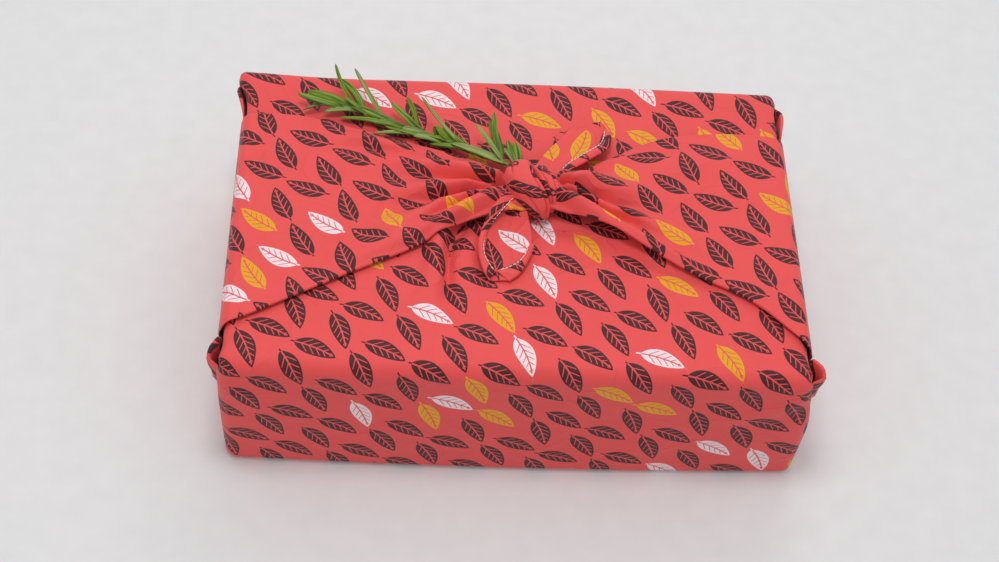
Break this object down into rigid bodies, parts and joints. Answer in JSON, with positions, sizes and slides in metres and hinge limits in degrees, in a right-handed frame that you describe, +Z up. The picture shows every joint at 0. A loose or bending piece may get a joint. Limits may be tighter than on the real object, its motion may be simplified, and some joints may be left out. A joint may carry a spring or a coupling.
{
  "type": "furoshiki wrap tied round a gift box",
  "caption": "Square cotton wrapping cloth folded round a flat gift box and tied in a knot on top, with a rosemary sprig.",
  "frame": {"origin": "middle of the flat underside, on the surface it stands on", "axes": "+X along the long side, +Y from the front face to the back, +Z up; seen from the front, the knot's short tail points towards -Y"},
  "size_m": [0.2695, 0.1765, 0.096],
  "materials": {
    "printed_cotton": "coral red plain-weave cotton with a small charcoal, yellow and white leaf print, matte",
    "plain_card": "uncoated grey-brown card, matte",
    "rosemary_green": null
  },
  "bodies": {
    "root": {"furoshiki_cloth": "printed_cotton", "gift_box": "plain_card", "rosemary_sprig": "rosemary_green"}
  },
  "joints": []
}
